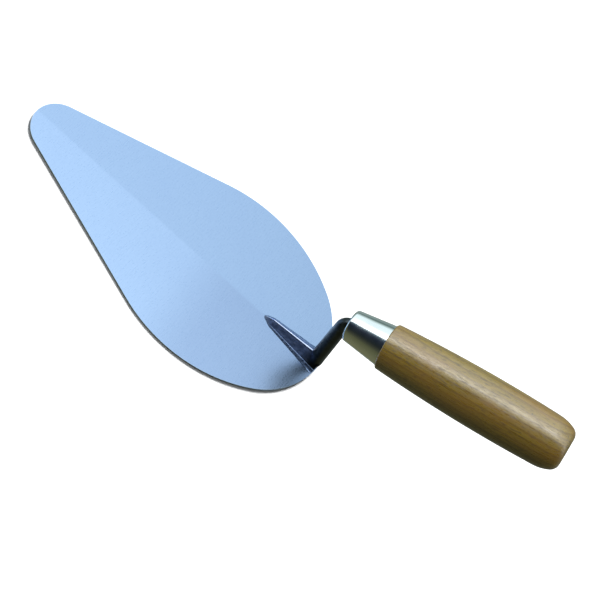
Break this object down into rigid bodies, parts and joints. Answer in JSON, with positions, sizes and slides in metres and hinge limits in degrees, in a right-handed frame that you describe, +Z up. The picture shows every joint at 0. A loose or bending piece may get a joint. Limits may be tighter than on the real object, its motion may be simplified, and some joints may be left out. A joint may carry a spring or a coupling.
{
  "type": "brick trowel",
  "caption": "Brick trowel for laying and pointing: ridged steel blade with a rounded heel, bent welded tang, tapered ferrule and turned wooden handle.",
  "frame": {"origin": "on the blade's flat underside, on its centre line, halfway between nose and heel", "axes": "+X from the nose to the heel and on towards the handle's butt, +Z up out of the blade's ridged face, +Y across the blade"},
  "size_m": [0.3512, 0.12, 0.1174],
  "materials": {
    "ground_steel": "fine-ground bright steel, satin, with a cool blue cast",
    "forged_steel": "dark forged scale under oil, semi-gloss",
    "weld_metal": "dressed weld, darkened by heat",
    "nickel_plate": "bright nickel plate",
    "varnished_beech": "clear-varnished beech, glossy"
  },
  "bodies": {
    "root": {"blade": "ground_steel", "tang": "forged_steel", "foot_weld": "weld_metal", "ferrule": "nickel_plate", "handle": "varnished_beech"}
  },
  "joints": []
}
